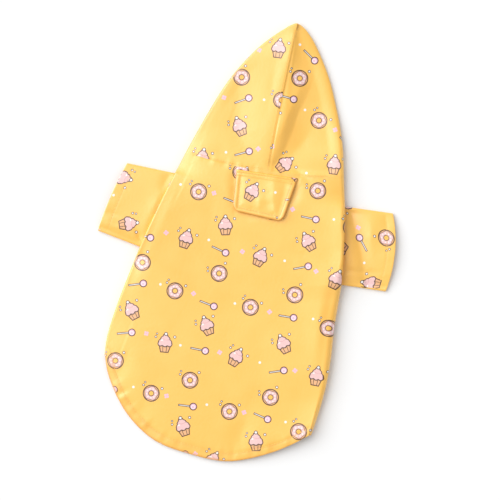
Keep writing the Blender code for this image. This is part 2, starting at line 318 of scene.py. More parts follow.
def lipWidth(row):
    share = (row - bellyRow) / (lastRow - bellyRow)
    full = body["sideSeamIn"]
    behind = full + (body["hemCornerLip"] - full) * share
    return np.where(row <= bellyRow, full - body["armholeLateral"] * armholeSwell(row), behind)


# The creases: each a soft trough, or a ridge where its depth is negative.

seamPath = [tuple(neckCurve(body["napeShare"])), *outline["hoodSeam"], outline["leftHood"][-1]]
neckPath = neckCurve(spread(0, 1, pathPoints["neck"]))
hemPath = hemCurve(spread(0, 1, pathPoints["hem"]))

# Each row: the crease's way, how far it reaches to the left and to the right of that way, there at
# its start and end where these differ, its depth at the start, middle and end, and how uneven it is.
hoodCreases = [
    ([(5, 5), (6.4, 8), (9, 14), (11.2, 20), (12.2, 26), (13, 32), (13.6, 38), (15, 46), (15.2, 54),
      (16.4, 62), (18.4, 70), (21, 80), (23, 94), (23, 110)],
     6.5, (60, 25), (3.2, 3, 0.5), 0.1),
    ([(16, 14), (22, 26), (28, 38), (33, 54)], (10, 14), 8, (0.1, 1, 0.3), 0.1),
    ([(-4, 88), (-4.6, 106), (-4.8, 124), (-5, 140)], (13, 9), (16, 10), (-0.3, -1.3, -0.5), 0.1),
    ([(15, 84), (15, 104), (11, 122), (5, 136)], (16, 10), (30, 20), (0.2, 1, 0.3), 0.1),
    ([(3.5, 38), (5, 50), (7, 62), (9.5, 76), (12, 88)], 6, 4, (-0.3, -0.7, -0.5), 0.1),
    ([(-12, 9), (-27, 16), (-38, 30), (-43, 50), (-47, 72)], (7, 20), (9, 24), (0.7, 1.8, 1.1), 0.1),
    ([(-52, -12), (-51, 4), (-50, 24)], 14, 30, (0.5, 0.9, 0.3), 0.1),
    ([(-14, 54), (-15, 66), (-16, 84), (-17, 106)], 5, 5, (0.1, 0.35, 0.2), 0.2),
]

backCreases = [
    ([(83, -96), (86, -115), (86, -132), (88, -150), (92, -172)], (14, 10), 14, (-0.5, -1.5, -0.6), 0.1),
    ([(-86, -40), (-91, -60), (-94, -76)], 8, 8, (-0.3, -0.4, -0.1), 0.2),
    ([(-86, -66), (-90, -90), (-92, -115), (-94, -140), (-97, -165)],
     90, (16, 18), (-0.3, -1.4, -0.3), 0.1),
    ([(-47, -24), (-47, -60), (-45, -96)], 12, 14, (0.2, 0.5, 0.2), 0.2),
    ([(-22, -62), (-20, -90), (-26, -116)], 14, 20, (0.2, 0.5, 0.2), 0.2),
    ([(14, -52), (32, -60), (52, -71)], 5, 7, (0.3, 0.5, 0.2), 0.3),
    ([(34, -76), (50, -75), (68, -77)], 5, 7, (0.2, 0.4, 0.1), 0.3),
    ([(36, -222), (33, -255), (28, -290)], 11, 11, (0.1, 1, 1.1), 0.2),
    ([(-66, -240), (-70, -262), (-72, -284)], 10, 9, (0.1, 0.6, 0.9), 0.2),
    ([(-96, -206), (-98, -222), (-104, -240)], 7, 8, (0.2, 0.8, 0.7), 0.2),
    ([(-32, -14), (-30, -26), (-27, -41)], (6, 7), 4, (1.2, 1.2, 0.6), 0.2),
    ([(32, -10), (31.5, -20), (30, -29)], 4, 9, (0.8, 1.1, 0.3), 0.2),
    ([(-22, -49), (-8, -50), (4, -49)], 4, 4, (0.4, 0.7, 0.4), 0.2),
    ([(24, 8), (33, 2), (44, -4)], 3.5, 3.5, (0.4, 0.9, 0.5), 0.2),
]


creaseForm = {
    "widthSpells": 4.4,     # how often its width and its depth change along it
    "depthSpells": 3.3,
    "roundness": 1.6,
    "seeds": (200, 100),
}


def creaseHeight(creases, x, y):
    total = np.zeros(np.shape(x))
    widthSeed, depthSeed = creaseForm["seeds"]
    for number, (points, left, right, depths, uneven) in enumerate(creases):
        off, along = fromPath(alongCurve(points), x, y)
        left, right = (np.interp(along, [0, 1], np.broadcast_to(width, 2)) for width in (left, right))
        width = np.where(off < 0, left, right)
        width = width * (1 + uneven * unevenly(along * creaseForm["widthSpells"], 1, widthSeed + number))
        depth = np.interp(along, [0, 0.5, 1], depths)
        depth = depth * (1 + uneven * unevenly(along * creaseForm["depthSpells"], 1, depthSeed + number))
        total -= depth * np.exp(-(np.abs(off) / width) ** creaseForm["roundness"])
    return total


gather = {
    "slant": 0.25,
    "least": 0.55,          # how strong the gathers are on the whole, and how much that changes
    "swing": 0.45,
    "spell": 4,
}


def puckers(distance, along, length, reach, size, depth, seed):
    # small gathers across a line of stitches that is so long
    waves = softNoise(along * length, distance * gather["slant"], size, seed)
    strength = gather["least"] + gather["swing"] * unevenly(along * length, size * gather["spell"], seed + 1)
    return depth * waves * strength * hill(distance, reach)


ripples = [(0.3, 0.4, -0.3, 46, 1), (0.12, -0.5, 0.2, 19, 2)]    # height, slants, size and seed

# Gathers are given by their seam's length, their reach, size and depth, and a seed.
neckSeam = {
    "hoodFade": (1, -8),    # how far past it the hood's creases end
    "groove": 0.55,
    "grooveWidth": 1,
    "spells": 14,           # how often the groove comes and goes, with its seed
    "spellSeed": 12,
    "gathers": (160, 4.5, 5, 0.6, 11),
}

hoodSeam = {
    "upper": (0.28, 0.53),  # from a groove in its lower part to a step down on its right
    "groove": 0.35,
    "grooveWidth": 1.1,
    "step": 0.6,            # at the neck, and how much more at the tip
    "stepMore": 1,
    "stepWidth": 0.7,
    "stepReach": 14,
    "bulge": 0.15,
    "bulgeAt": 2.4,
    "bulgeWidth": 1.5,
    "bulgeFrom": (0.6, 0.7),
    "gathers": (150, 4.5, 8, 0.2, 13),
}


def coatHeight(x, y):  # what the folds add to the top of the back and the hood
    neckOff, neckAlong = fromPath(neckPath, x, y)
    aboveNeck = fade(neckOff, *neckSeam["hoodFade"])
    height = creaseHeight(hoodCreases, x, y) * aboveNeck + creaseHeight(backCreases, x, y)
    for high, slantX, slantY, size, seed in ripples:
        height += high * softNoise(x + slantX * y, y + slantY * x, size, seed)
    broken = easeIn(0.5 + unevenly(neckAlong * neckSeam["spells"], 1, neckSeam["spellSeed"]))
    height -= neckSeam["groove"] * broken * hill(neckOff, neckSeam["grooveWidth"])
    height += puckers(neckOff, neckAlong, *neckSeam["gathers"])
    seamOff, seamAlong = fromPath(seamPath, x, y)
    upper = fade(seamAlong, *hoodSeam["upper"])
    groove = hoodSeam["groove"] * hill(seamOff, hoodSeam["grooveWidth"])
    onRight = 0.5 + 0.5 * np.tanh(seamOff / hoodSeam["stepWidth"])
    step = onRight * hill(np.maximum(seamOff, 0), hoodSeam["stepReach"])
    step *= hoodSeam["step"] + hoodSeam["stepMore"] * seamAlong
    bulge = hoodSeam["bulge"] * hill(seamOff - hoodSeam["bulgeAt"], hoodSeam["bulgeWidth"])
    seam = bulge * fade(seamAlong, *hoodSeam["bulgeFrom"]) - (1 - upper) * groove - upper * step
    seam += puckers(seamOff, seamAlong, *hoodSeam["gathers"])
    return height + aboveNeck * seam


def sagHeight(x, y):  # how far the sides stand above the middle, behind the neck
    off = (x - body["sagMiddle"]) / body["sagReach"]
    return np.where(off < 0, *body["sagHeight"]) * off ** 2 * fade(y, *body["sagFrom"])


hem = {
    "gathersAt": 0.6,       # of its depth in from its edge
    "gathers": (330, 9, 6.5, 1.1, 15),
    "gathersShare": ([0, 0.1, 0.2, 0.35, 0.6, 1], [0.2, 0.3, 1, 1, 0.8, 0.5]),  # from the left
    "edgeLine": 1.1,        # how wide the painted shade line along its edge is
    "edgeShade": 0.7,
    "sewnLine": 1.8,
    "sewnShade": 0.3,
    "turnedTo": (1.3, 0.9),  # in hem depths from the edge, where its shade starts and is whole
    "turnedShade": 0.22,
    "shadeShare": ([0, 0.05, 0.3, 0.5, 0.8, 1], [0.4, 1, 1, 0.5, 0.7, 0.5]),
    "patches": (0.65, 0.35, 9, 51),  # the least shade, its swing, size and seed
}


def hemHeight(x, y):
    off, along = fromPath(hemPath, x, y)
    away = np.abs(off)
    groove = cloth["grooveDepth"] * hill(away - cloth["hemDepth"], cloth["grooveWidth"])
    gathers = puckers(away - cloth["hemDepth"] * hem["gathersAt"], along, *hem["gathers"])
    return gathers * np.interp(along, *hem["gathersShare"]) - groove


def toFrame(points):
    return (points + np.array([*napeAt, 0])) * mm


def placed(spot, height):  # one array of points from places and heights of any matching shapes
    shape = np.broadcast_shapes(spot.shape[:-1], np.shape(height))
    made = np.empty((*shape, 3))
    made[..., :2] = spot
    made[..., 2] = height
    return made


def turnUnder(table, print2d, closed=False):
    # rows before the first: the edge turned over, and its cut end under the cloth
    radius, depth, count = cloth["hemRadius"], cloth["hemDepth"], cloth["turnRows"]
    inward = unit(table[1] - table[0])
    across = np.gradient(table[0], axis=0)
    if closed:
        across[0] = across[-1] = table[0][1] - table[0][-2]
    outward = unit(np.cross(across, inward))
    printIn = unit(print2d[1] - print2d[0])
    centre = table[0] - outward * radius
    reached = lengthsAlong(table)
    rows, prints = [], []
    for reach in spread(depth, 0, count)[:-1]:
        above = np.array([[np.interp(reach, reached[:, column], table[:, column, axis])
                           for axis in range(3)] for column in range(table.shape[1])])
        rows.append(above - outward * 2 * radius)
        prints.append(print2d[0] - printIn * (math.pi * radius + reach))
    for angle in spread(math.pi, 0, count)[:-1]:
        turning = outward * math.cos(angle) - inward * math.sin(angle)
        rows.append(centre + turning * radius)
        prints.append(print2d[0] - printIn * radius * angle)
    return np.concatenate([np.array(rows), table]), np.concatenate([np.array(prints), print2d])


def turned(points, degrees):
    c, s = math.cos(math.radians(degrees)), math.sin(math.radians(degrees))
    x, y = points[..., 0], points[..., 1]
    return np.stack([x * c - y * s, x * s + y * c], axis=-1)


def patchy(along, length, base, swing, size, seed):
    return base + swing * unevenly(along * length, size, seed)


def hemShade(points):  # painted shade on the turned hem: a line at its edge, one at its stitches and a band between them
    off, along = fromPath(hemPath, points[..., 0], points[..., 1])
    away = np.abs(off)
    sewn = hem["sewnShade"] * hill(away - cloth["hemDepth"], hem["sewnLine"])
    turnedIn = hem["turnedShade"] * fade(away / cloth["hemDepth"], *hem["turnedTo"])
    patches = patchy(along, hem["gathers"][0], *hem["patches"]) * np.interp(along, *hem["shadeShare"])
    return np.clip(hem["edgeShade"] * edgeLine(away, hem["edgeLine"]) + patches * (sewn + turnedIn), 0, 1)


# Painted shade beside the left edge and in the neck seam.
seamShade = {
    "sideReach": 2.6,       # how far in from the left edge it goes
    "side": ([-220, -60, -10, 60, 100, 150], [0.12, 0.14, 0.45, 0.45, 0.35, 0.2]),  # along the coat
    "neckReach": 1.1,
    "neck": ([0, 0.5, 0.7, 1], [0.1, 0.1, 0.4, 0.3]),  # from the left
    "patches": (0.6, 0.6, 9, 53),
}
leftEdge = np.concatenate([
    leftCurve(spread(1, 0, pathPoints["edge"])),
    alongCurve(outline["leftHood"], pathPoints["edge"])[1:],
])


def sideShade(points):  # painted shade along the left edge and in the neck seam
    x, y = points[..., 0], points[..., 1]
    side = np.interp(y, *seamShade["side"]) * hill(fromPath(leftEdge, x, y)[0], seamShade["sideReach"])
    off, along = fromPath(neckPath, x, y)
    patches = patchy(along, neckSeam["gathers"][0], *seamShade["patches"])
    sewn = np.interp(along, *seamShade["neck"]) * patches * hill(off, seamShade["neckReach"])
    return np.clip(side + sewn, 0, 1)


def newMesh(name, shape):
    mesh = bpy.data.meshes.new(name)
    shape.to_mesh(mesh)
    shape.free()
    return mesh


def newPiece(name, data):
    piece = bpy.data.objects.new(name, data)
    bpy.context.scene.collection.objects.link(piece)
    return piece


def makeSheet(name, table, print2d, materials, thickness=cloth["thickness"], closed=False,
              paintedShade=None, seamRow=None):
    rows, columns = table.shape[:2]
    sides = np.diff(table, axis=0)[:, 1:], np.diff(table, axis=1)[1:]
    area = np.linalg.norm(np.cross(*sides), axis=-1).sum() * mm ** 2
    width, length = (float(size) * mm for size in np.ptp(print2d.reshape(-1, 2), axis=0))
    print2d = turned(print2d, printing["turns"].get(name, 0))
    grid = bmesh.new()
    bmesh.ops.create_grid(grid, x_segments=columns - 1, y_segments=rows - 1, size=0.5)
    mesh = newMesh(name, grid)
    flat = np.empty(len(mesh.vertices) * 3, np.float32)
    mesh.vertices.foreach_get("co", flat)
    flat = flat.reshape(-1, 3)
    column = np.rint((flat[:, 0] + 0.5) * (columns - 1)).astype(int)
    row = np.rint((flat[:, 1] + 0.5) * (rows - 1)).astype(int)
    mesh.vertices.foreach_set("co", toFrame(table[row, column]).astype(np.float32).ravel())
    corners = np.empty(len(mesh.loops), np.int32)
    mesh.loops.foreach_get("vertex_index", corners)
    layer = mesh.uv_layers.new(name="pattern")
    layer.data.foreach_set("uv", (print2d[row, column][corners] * mm).astype(np.float32).ravel())
    # each point's share of painted shade
    if paintedShade is not None:
        mark = mesh.attributes.new("paintedShade", "FLOAT", "POINT")
        mark.data.foreach_set("value", paintedShade[row, column].astype(np.float32))
    if seamRow is not None:  # that row is left crisp, so that no bright or dark line is seen there
        onSeam = row == seamRow % rows
        ends = np.empty(len(mesh.edges) * 2, np.int32)
        mesh.edges.foreach_get("vertices", ends)
        crisp = mesh.attributes.new("sharp_edge", "BOOLEAN", "EDGE")
        crisp.data.foreach_set("value", onSeam[ends[0::2]] & onSeam[ends[1::2]])
    if closed:
        tube = bmesh.new()
        tube.from_mesh(mesh)
        bmesh.ops.remove_doubles(tube, verts=tube.verts, dist=0.00001)
        tube.to_mesh(mesh)
        tube.free()
    mesh.shade_smooth()
    for material in materials:
        mesh.materials.append(material)
    piece = newPiece(name, mesh)
    wall = piece.modifiers.new("wall", "SOLIDIFY")
    wall.thickness = thickness * mm
    wall.offset = -1
    wall.material_offset = 1 if len(materials) > 1 else 0
    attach(piece, "root")
    size = f"{width / mm:.0f} by {length / mm:.0f} mm, {area * 1e4:.0f} cm2"
    print("made", name, "from a cut of", size)
    return piece


def backStrip(part, step, row):
    left, right, across, down = rowFrame(row)
    fold, base = sectionFold(down), lipHeight(row)
    width = np.linalg.norm(right - left, axis=-1)
    rollLeft, rollRight = (fold * np.interp(down, *body["foldReach"][side]) for side in ("left", "right"))
    riseLeft, riseRight = (fold + np.interp(down, *body["foldRise"][side]) for side in ("left", "right"))
    if part == "top":
        spot = left + across * (rollLeft + step * (width - rollLeft - rollRight))[..., None]
        spot = spot + bow(neckCurve, step) * (1 - down)[..., None] ** 2
        spot = spot + bow(hemCurve, step) * down[..., None] ** 2
        side = base + 2 * np.where(step < body["napeShare"], riseLeft, riseRight)
        height = side + (sectionHeight(down) - side) * dome(fromMiddle(step))
        height = height + np.interp(step, *body["hemRise"]) * fade(down, *body["hemRiseFrom"])
        height = height + sagHeight(spot[..., 0], spot[..., 1])
        toSide = np.minimum(step, 1 - step) * (width - rollLeft - rollRight)
        toHem = (1 - down) * body["length"]
        low, more = body["lowCalm"]
        give = fade(toSide, 0, body["sideCalm"]) * np.clip((height - low) / more, 0, 1)
        x, y = spot[..., 0], spot[..., 1]
        added = coatHeight(x, y) * give
        added += hemHeight(x, y) * fade(toSide, 0, body["hemCalm"][0]) * fade(toHem, 0, body["hemCalm"][1])
        least = np.minimum(height, body["sectionHeight"][-1])
        return placed(spot, np.maximum(height + added, least)), spot
    onLeft = part.startswith("left")
    start, inward = (left, across) if onLeft else (right, -across)
    roll, rise = (rollLeft, riseLeft) if onLeft else (rollRight, riseRight)
    edge = start + inward * roll[..., None]
    rise = rise + sagHeight(edge[..., 0], edge[..., 1]) / 2
    if part.endswith("Fold"):
        angle = (step - 0.5) * math.pi
        reach, height = roll - roll * np.cos(angle), base + rise + rise * np.sin(angle)
        around = (1 - step) * math.pi * fold
    else:
        reach, height = roll + (lipWidth(row) - roll) * step, base + 0 * step
        around = math.pi * fold + (lipWidth(row) - roll) * step
    return placed(start + inward * reach[..., None], height), edge - inward * around[..., None]


def joined(strips):  # the strips' points and prints side by side, without their shared columns
    points = [strips[0][0]] + [strip[0][:, 1:] for strip in strips[1:]]
    prints = [strips[0][1]] + [strip[1][:, 1:] for strip in strips[1:]]
    return np.concatenate(points, axis=1), np.concatenate(prints, axis=1)


def backTable():
    row = spread(lastRow, 0, body["rowCells"] + 1)[:, None]
    folds, lips = body["foldCells"] + 1, body["lipCells"] + 1
    strips = [
        backStrip("leftLip", spread(1, 0, lips)[None], row),
        backStrip("leftFold", spread(0, 1, folds)[None], row),
        backStrip("top", spread(0, 1, body["topCells"] + 1)[None], row),
        backStrip("rightFold", spread(1, 0, folds)[None], row),
        backStrip("rightLip", spread(0, 1, lips)[None], row),
    ]
    return turnUnder(*joined(strips))


def sideSeam(side, row):
    reach = body["sideSeamIn"] + body["bellySeamIn"] + body["armholeMedial"] * armholeSwell(row)
    share = armholeShare(row)
    long = body["armholeFront"][side] - body["armholeRear"][side]
    toEnd = np.minimum(share, 1 - share) * long
    low = 2 * sleeves["fold"] + sleeves["clearance"]
    inHole = low * np.clip(1 - toEnd / body["armholeEndRise"], 0, 1)
    return placed(inFrom(side, row, reach), np.where((share > 0) & (share < 1), inHole, lipHeight(row)))


def bellyTable():
    columns, rows = body["bellyCells"]
    row = spread(bellyRow, 0, rows + 1)[:, None]
    share = spread(0, 1, columns + 1)[None]
    left, right = sideSeam("left", row), sideSeam("right", row)
    points = left + (right - left) * share[..., None]
    toSeam = np.minimum(share, 1 - share) * np.linalg.norm(right - left, axis=-1)
    lifted = np.where(share < 0.5, left[..., 2], right[..., 2])
    points[..., 2] = lifted * np.clip(1 - toSeam / body["bellyRise"], 0, 1)
    # its columns run from right to left, so that its outside faces down
    return points[:, ::-1], points[:, ::-1, :2] * [-1, 1]


hood = {
    "crownShare": [0, 0.3, 0.7, 0.92, 1],
    "crownHeight": [11, 11.9, 10.5, 8.7, 7.2],
    "profile": {            # how far up to the crown, from the seam out to the side
        "left": ([0, 0.12, 0.25, 0.5, 0.75, 1], [1, 0.95, 0.82, 0.57, 0.31, 0]),
        "right": ([0, 0.1, 0.2, 0.4, 0.6, 0.8, 1], [1, 0.97, 0.82, 0.54, 0.33, 0.16, 0]),
    },
    "profileFrom": 0.2,     # of the way to the tip, where that profile is whole
    "tipFold": {"left": 3.6, "right": 2.2},
    "tipRoll": {"left": 1.8, "right": 2.9},
    "neckReach": 0.5,       # how far up the neck's own height goes on
    "neckTurnPower": 6,
    "mouthStart": 0.06,
    "mouthEnd": 0.84,
    "mouthHalf": 30,
    "topCells": 72,
    "foldCells": 8,
    "underCells": 24,
    "rowCells": 120,
    "rowPower": 1.3,        # rows lie closer near the tip, and columns near the seam
    "length": 150,
    "tipCalm": 0.25,
}


def hoodStrips(side):
    facing = -1 if side == "left" else 1
    line = curveThrough(outline[side + "Hood"], levelEnd=True)
    nape = backStrip("top", np.array([[body["napeShare"]]]), np.zeros((1, 1)))[1][0, 0]
    seam = curveThrough([tuple(nape)] + outline["hoodSeam"])
    neckEnd = backStrip("top", np.array([[0 if side == "left" else 1]]), np.zeros((1, 1)))[1][0, 0]
    neckDirection = facing * rowFrame(0)[2]
    throat = neckCurve(0) + (neckCurve(1) - neckCurve(0)) * body["napeShare"]
    crown = smoothThrough(hood["crownShare"], hood["crownHeight"])
    share = 1 - (1 - spread(0, 1, hood["rowCells"] + 1)[:, None]) ** hood["rowPower"]
    fold = body["sectionFold"][0] + body["foldRise"][side][1][0]
    radius = fold + (hood["tipFold"][side] - fold) * easeIn(share / hood["neckReach"])
    top, edge = seam(share), line(share)
    outward = unit(edge - top)
    outward = unit(outward + (neckDirection - outward) * (1 - share[..., None]) ** hood["neckTurnPower"])
    neckRoll = body["sectionFold"][0] * body["foldReach"][side][1][0]
    roll = neckRoll + (hood["tipRoll"][side] - neckRoll) * share
    turn = edge - outward * roll[..., None]

    step = spread(0, 1, hood["topCells"] + 1)[None] ** hood["rowPower"]
    reach = body["napeShare"] if side == "left" else 1 - body["napeShare"]
    neck = backStrip("top", body["napeShare"] + facing * step * reach, np.zeros((1, 1)))[1]
    sag = neck - nape - (neckEnd - nape) * step[..., None]
    spot = top + (turn - top) * step[..., None] + sag * (1 - share[..., None]) ** 2
    profile = smoothThrough(*hood["profile"][side])
    own = easeIn(share / hood["profileFrom"])
    upward = dome(step) * (1 - own) + profile(step) * own
    height = 2 * radius + (crown(share) - 2 * radius) * upward
    toSide = (1 - step) * np.linalg.norm(turn - top, axis=-1)
    toTip = (1 - share) * hood["length"]
    give = fade(toSide, 0, body["sideCalm"]) * easeIn(hood["tipCalm"] + toTip / body["sideCalm"])
    added = coatHeight(spot[..., 0], spot[..., 1]) * give
    strips = [(placed(spot, height + added), spot)]

    step = spread(0, 1, hood["foldCells"] + 1)[None]
    angle = (0.5 - step) * math.pi
    spot = turn + outward * (roll * np.cos(angle))[..., None]
    strips.append((placed(spot, radius + radius * np.sin(angle)),
                   turn + outward * (step * math.pi * radius)[..., None]))

    step = spread(0, 1, hood["underCells"] + 1)[None]
    mouth = np.clip((share - hood["mouthStart"]) / (hood["mouthEnd"] - hood["mouthStart"]), 0, 1)
    end = throat + (seam(1) - throat) * share[..., None]
    end[..., 0] = top[..., 0] + facing * hood["mouthHalf"] * np.sin(math.pi * mouth)
    spot = turn + (end - turn) * step[..., None]
    under = np.linalg.norm(end - turn, axis=-1) * step
    strips.append((placed(spot, 0 * step),
                   turn + outward * (math.pi * radius + under)[..., None]))
    return strips


def hoodTable(side):  # its columns run from left to right on both halves, so that it faces up
    points, prints = joined(hoodStrips(side))
    return (points[:, ::-1], prints[:, ::-1]) if side == "left" else (points, prints)


sleeveCreases = {
    "left": [
        ([(-151, -94), (-132, -98), (-112, -101)], 2.5, 2.5, (0.7, 0.9, 0.8), 0.3),
        ([(-145, -89), (-128, -91), (-116, -93)], 3, 3, (-0.3, -0.5, -0.3), 0.4),
        ([(-118, -87), (-112, -93), (-106, -99)], 3, 3, (0.4, 1.6, 1.8), 0.2),
        ([(-153, -78), (-140, -78), (-126, -80)], 4, 4, (0.7, 0.5, 0.1), 0.3),
        ([(-98, -50), (-102, -66), (-105, -80)], 8, 9, (-0.9, -1.5, -0.9), 0.2),
        ([(-96, -26), (-98, -36), (-100, -46)], (9, 7), 6, (1.3, 1, 0.2), 0.2),
    ],
    "right": [
        ([(88, -20), (97, -38), (107, -56), (114, -72), (118, -84)], (6, 18), (5, 6), (1.8, 3, 2.6), 0.1),
        ([(96, -80), (112, -79), (130, -75)], 3, 3, (0.6, 0.9, 0.2), 0.3),
        ([(108, -93), (122, -91), (138, -90)], 3, 3, (0.3, 0.9, 0.9), 0.3),
        ([(110, -25), (115, -44), (120, -60)], 7, 6, (-0.2, -0.9, -0.4), 0.2),
        ([(124, -17), (127, -30), (128, -44)], 6, 5, (0.4, 0.6, 0.2), 0.3),
    ],
}


def cuffLine(side, share):  # the cuff's edge, from its front corner to its rear one
    front, middle, rear = (np.array(point) for point in sleeves[side])
    share = share[..., None]
    return front + (rear - front) * share + (middle - (front + rear) / 2) * (4 * share * (1 - share))


def sleeveTable(side):
    near = sleeves["fold"] / (body["armholeFront"][side] - body["armholeRear"][side])
    layer, foldCells = sleeves["layerCells"] + 1, sleeves["foldCells"] + 1
    angles = spread(0, math.pi, foldCells)[1:-1]
    share = np.concatenate([
        spread(1 - near, near, layer),
        near * (1 - np.sin(angles)),
        spread(near, 1 - near, layer),
        1 - near * (1 - np.sin(angles)),
        [1 - near],
    ])[None]
    upper = np.concatenate([
        np.ones(layer), (1 + np.cos(angles)) / 2, np.zeros(layer), (1 - np.cos(angles)) / 2, [1],
    ])[None]
    if side == "left":
        share, upper = share[:, ::-1], upper[:, ::-1]
    swell = np.sin(math.pi * share)
    reach = (body["sideSeamIn"] + (1 - upper) * body["armholeMedial"] * swell
             - upper * body["armholeLateral"] * swell)
    inner = inFrom(side, frontRow + share * body["rowsOfArmhole"], reach)
    cuff = cuffLine(side, share)
    toInner = spread(0, 1, sleeves["rowCells"] + 1)[:, None]
    spot = inner + (cuff - inner) * (1 - toInner)[..., None]
    x, y = spot[..., 0], spot[..., 1]
    long = np.linalg.norm(cuff - inner, axis=-1)
    toCuff = toInner * long
    high, size, seed = sleeves["ripple"]
    added = creaseHeight(sleeveCreases[side], x, y) + high * softNoise(x, y, size, seed)
    added += puckers(toCuff - cloth["hemDepth"] * sleeves["gathersAt"], share, *sleeves["gathers"])
    added -= sleeves["cuffGroove"] * hill(toCuff - cloth["hemDepth"], cloth["grooveWidth"])
    added *= fade(np.minimum(share, 1 - share) * sleeves["around"], 0, sleeves["edgeCalm"])
    added *= fade(long - toCuff - reach, *sleeves["bodyCalm"])
    points = placed(spot, upper * sleeveTop(share) + added * (upper == 1))
    prints = np.stack(np.broadcast_arrays(lengthsAlong(points[0])[None], toCuff), axis=-1)
    return turnUnder(points, prints, closed=True)


flap = {
    "topHalf": 30.8,
    "lowHalf": 25.4,
    "shift": -0.9,
    "top": -4.4,
    "length": 43.5,
    "corner": 7,
    "slant": 2.4,
    "cells": (84, 60),
    "edgeCrowd": 0.35,      # how much its points crowd toward its edges
    "thickness": 1.1,
    "bridged": 6,           # times that its bed is smoothed, as it spans small creases
    "clear": 0.15,
    "rimRadius": 1,
    "topRadius": 0.8,
    "edgeHeight": 0.5,
    "rimHeight": 0.35,
    "rimAt": 2,
    "rimWidth": 1.6,
    "rimDown": (5, 9),
    "rightPart": (12, 20),  # where its flatter right part starts and is whole
    "rightFlatter": (0.7, 0.8),  # what its rim and its groove lose there
    "stitchIn": 4.7,
    "grooveDepth": 0.45,
    "grooveWidth": (1.2, 4),  # outside and inside its stitches
    "grooveDown": (3, 7),
    "ridges": (1.6, 5),     # down from its top edge, the two rolls of its seam
    "ridgeHeight": 0.5,
    "ridgeWidth": 0.9,
    "ridgeEnd": 2,
    "pad": 0.1,
    "padIn": 6,
    "padDown": (6, 14),
    "foldsIn": 3,
    "rightLift": 1.3,
    "rightLiftPart": (18, 26),
    "rightLiftDown": (1, 11),
    "lowLift": 0.5,
    "lowLiftDown": (26, 40),
    "ripple": (0.1, 7, 41),
    "printShift": (21.5, 39),
    "rimLine": 1.1,         # how far in from its edge the painted shade line goes
    "rimLineDown": (1.5, 3.5),
    "stitchShade": 0.45,
    "stitchShadeOut": 0.4,
    "stitchShadeWidth": 0.7,
    "stitchShadeDown": (3, 6),
}

flapCreases = [
    ([(7, -8), (9, -18), (11, -28), (14, -38)], (9, 8), (6, 5), (-0.7, -1.4, -1), 0.1),
    ([(-4, -26), (-2, -33), (-1, -40)], 8, 3.5, (-0.3, -0.9, -0.4), 0.1),
]


def straightDown(tree, x, y):  # where a line down from above meets the cloth
    above = Vector(((x + napeAt[0]) * mm, (y + napeAt[1]) * mm, highUp))
    return tree.ray_cast(above, Vector((0, 0, -1)))[0]


def crowded(start, end, count):  # from -1 to 1, or back, closer together near both
    crowd = flap["edgeCrowd"]
    turn = spread(math.pi * (1 - start) / 2, math.pi * (1 - end) / 2, count)
    return np.cos(turn) * crowd + spread(start, end, count) * (1 - crowd)


def flapTable(under):
    columns, rows = flap["cells"]
    tree = BVHTree.FromObject(under, bpy.context.evaluated_depsgraph_get())
    across = crowded(-1, 1, columns + 1)[None]
    share = (1 + crowded(1, -1, rows + 1)[:, None]) / 2
    down = flap["length"] * share
    half = flap["topHalf"] + (flap["lowHalf"] - flap["topHalf"]) * share
    intoCorner = np.clip(flap["corner"] - (flap["length"] - down), 0, flap["corner"])
    half = half - flap["corner"] + np.sqrt(flap["corner"] ** 2 - intoCorner ** 2)
    offCentre = half * across
    x = offCentre + flap["shift"]
    y = flap["top"] - down + flap["slant"] * x / flap["topHalf"] * (1 - share)
    base = np.empty(x.shape)
    for spot in np.ndindex(x.shape):
        base[spot] = straightDown(tree, x[spot], y[spot]).z / mm
    for _ in range(flap["bridged"]):
        base[1:-1] = (base[:-2] + 2 * base[1:-1] + base[2:]) / 4
        base[:, 1:-1] = (base[:, :-2] + 2 * base[:, 1:-1] + base[:, 2:]) / 4
    toEdge = np.minimum(half - np.abs(offCentre), flap["length"] - down)
    edge = np.sqrt(1 - (1 - np.clip(toEdge / flap["rimRadius"], 0, 1)) ** 2)
    edge *= np.sqrt(1 - (1 - np.clip(down / flap["topRadius"], 0, 1)) ** 2)
    onRight = fade(x, *flap["rightPart"])
    rimLess, grooveLess = flap["rightFlatter"]
    rim = flap["rimHeight"] * hill(toEdge - flap["rimAt"], flap["rimWidth"]) * fade(down, *flap["rimDown"])
    fromStitch = toEdge - flap["stitchIn"]
    outside, inside = flap["grooveWidth"]
    groove = flap["grooveDepth"] * hill(fromStitch, np.where(fromStitch < 0, outside, inside))
    groove *= fade(down, *flap["grooveDown"])
    height = base + flap["thickness"] + flap["clear"] + flap["edgeHeight"] * edge
    height += rim * (1 - rimLess * onRight) - groove * (1 - grooveLess * onRight)
    for ridge in flap["ridges"]:
        top = flap["ridgeHeight"] * hill(down - ridge, flap["ridgeWidth"])
        height += top * fade(toEdge, 0, flap["ridgeEnd"])
    height += flap["pad"] * fade(fromStitch, 0, flap["padIn"]) * fade(down, *flap["padDown"])
    height += creaseHeight(flapCreases, x, y) * fade(toEdge, 0, flap["foldsIn"])
    height += flap["rightLift"] * fade(x, *flap["rightLiftPart"]) * fade(down, *flap["rightLiftDown"])
    height += flap["lowLift"] * fade(down, *flap["lowLiftDown"])
    high, size, seed = flap["ripple"]
    height += high * softNoise(x, y, size, seed)
    # painted shade: a dark line along its edge and another beside its stitches
    shade = edgeLine(toEdge, flap["rimLine"]) * fade(down, *flap["rimLineDown"])
    sewn = hill(fromStitch + flap["stitchShadeOut"], flap["stitchShadeWidth"])
    shade += flap["stitchShade"] * sewn * fade(down, *flap["stitchShadeDown"])
    points = np.stack([x, y, height], axis=-1)
    return points, points[..., :2] + flap["printShift"], np.clip(shade, 0, 1)


